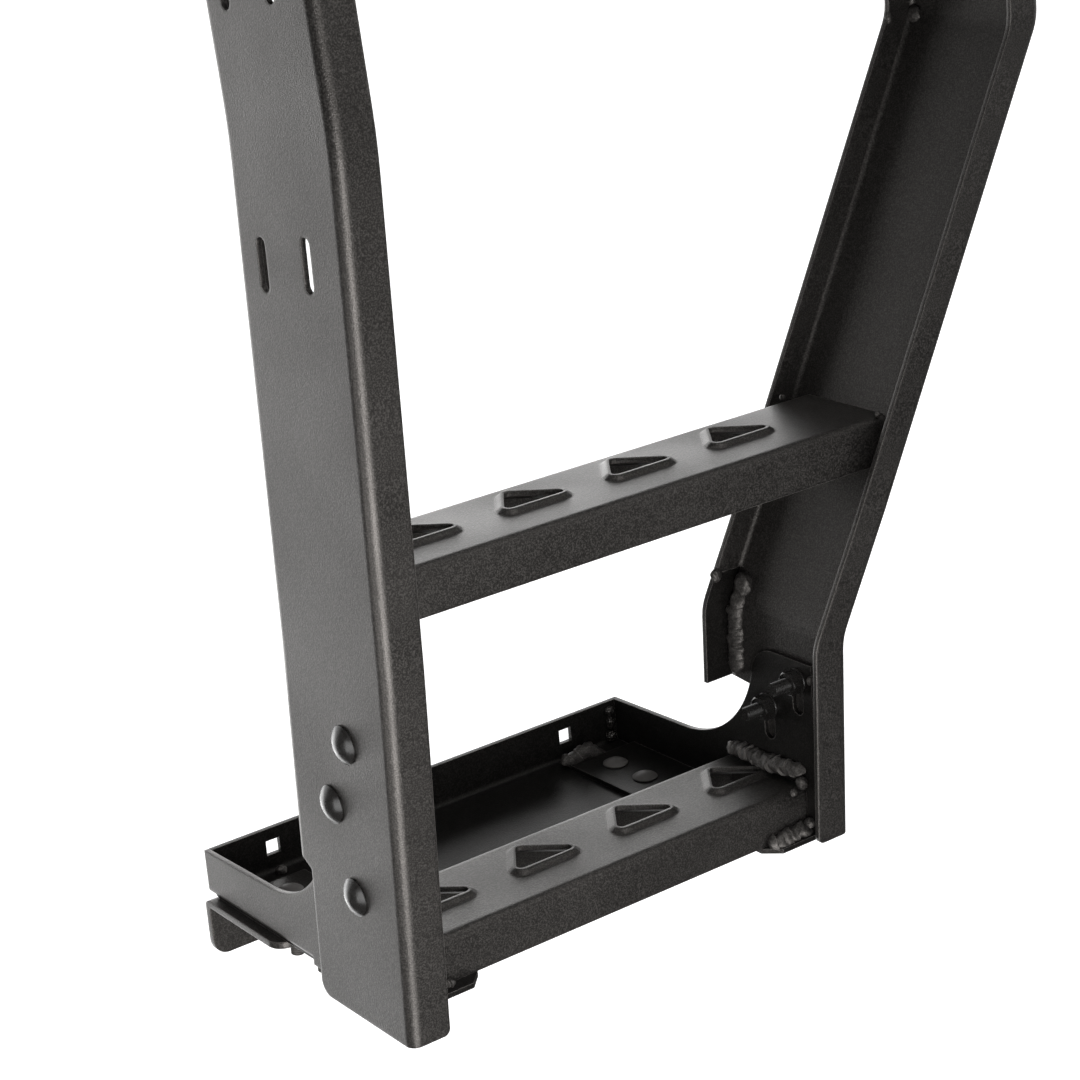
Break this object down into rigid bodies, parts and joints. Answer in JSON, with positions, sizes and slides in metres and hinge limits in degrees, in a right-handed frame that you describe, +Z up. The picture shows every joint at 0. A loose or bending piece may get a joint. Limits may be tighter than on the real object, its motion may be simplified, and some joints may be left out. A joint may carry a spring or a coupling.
{
  "type": "vehicle access ladder",
  "caption": "Folded sheet-metal vehicle ladder with channel rails, one set straight and one swept outward, raised grip holes in the treads and a bolted foot tray.",
  "frame": {"origin": "on the rear face of the foot tray's back wall, midway between its two square bolt holes", "axes": "+X to the right of someone who climbs the ladder, +Y towards the vehicle, +Z up along the rails"},
  "size_m": [0.4665, 0.2256, 1.012],
  "materials": {
    "black_powder_coat": "fine textured satin powder coat"
  },
  "bodies": {
    "root": {"left_rail": "black_powder_coat", "right_rail": "black_powder_coat", "right_rear_strip": "black_powder_coat", "step_1": "black_powder_coat", "step_2": "black_powder_coat", "step_3": "black_powder_coat", "step_4": "black_powder_coat", "foot_tray": "black_powder_coat", "left_side_plate": "black_powder_coat", "right_side_plate": "black_powder_coat", "left_foot": "black_powder_coat", "right_foot": "black_powder_coat", "left_step_tab": "black_powder_coat", "right_step_tab": "black_powder_coat"}
  },
  "joints": []
}
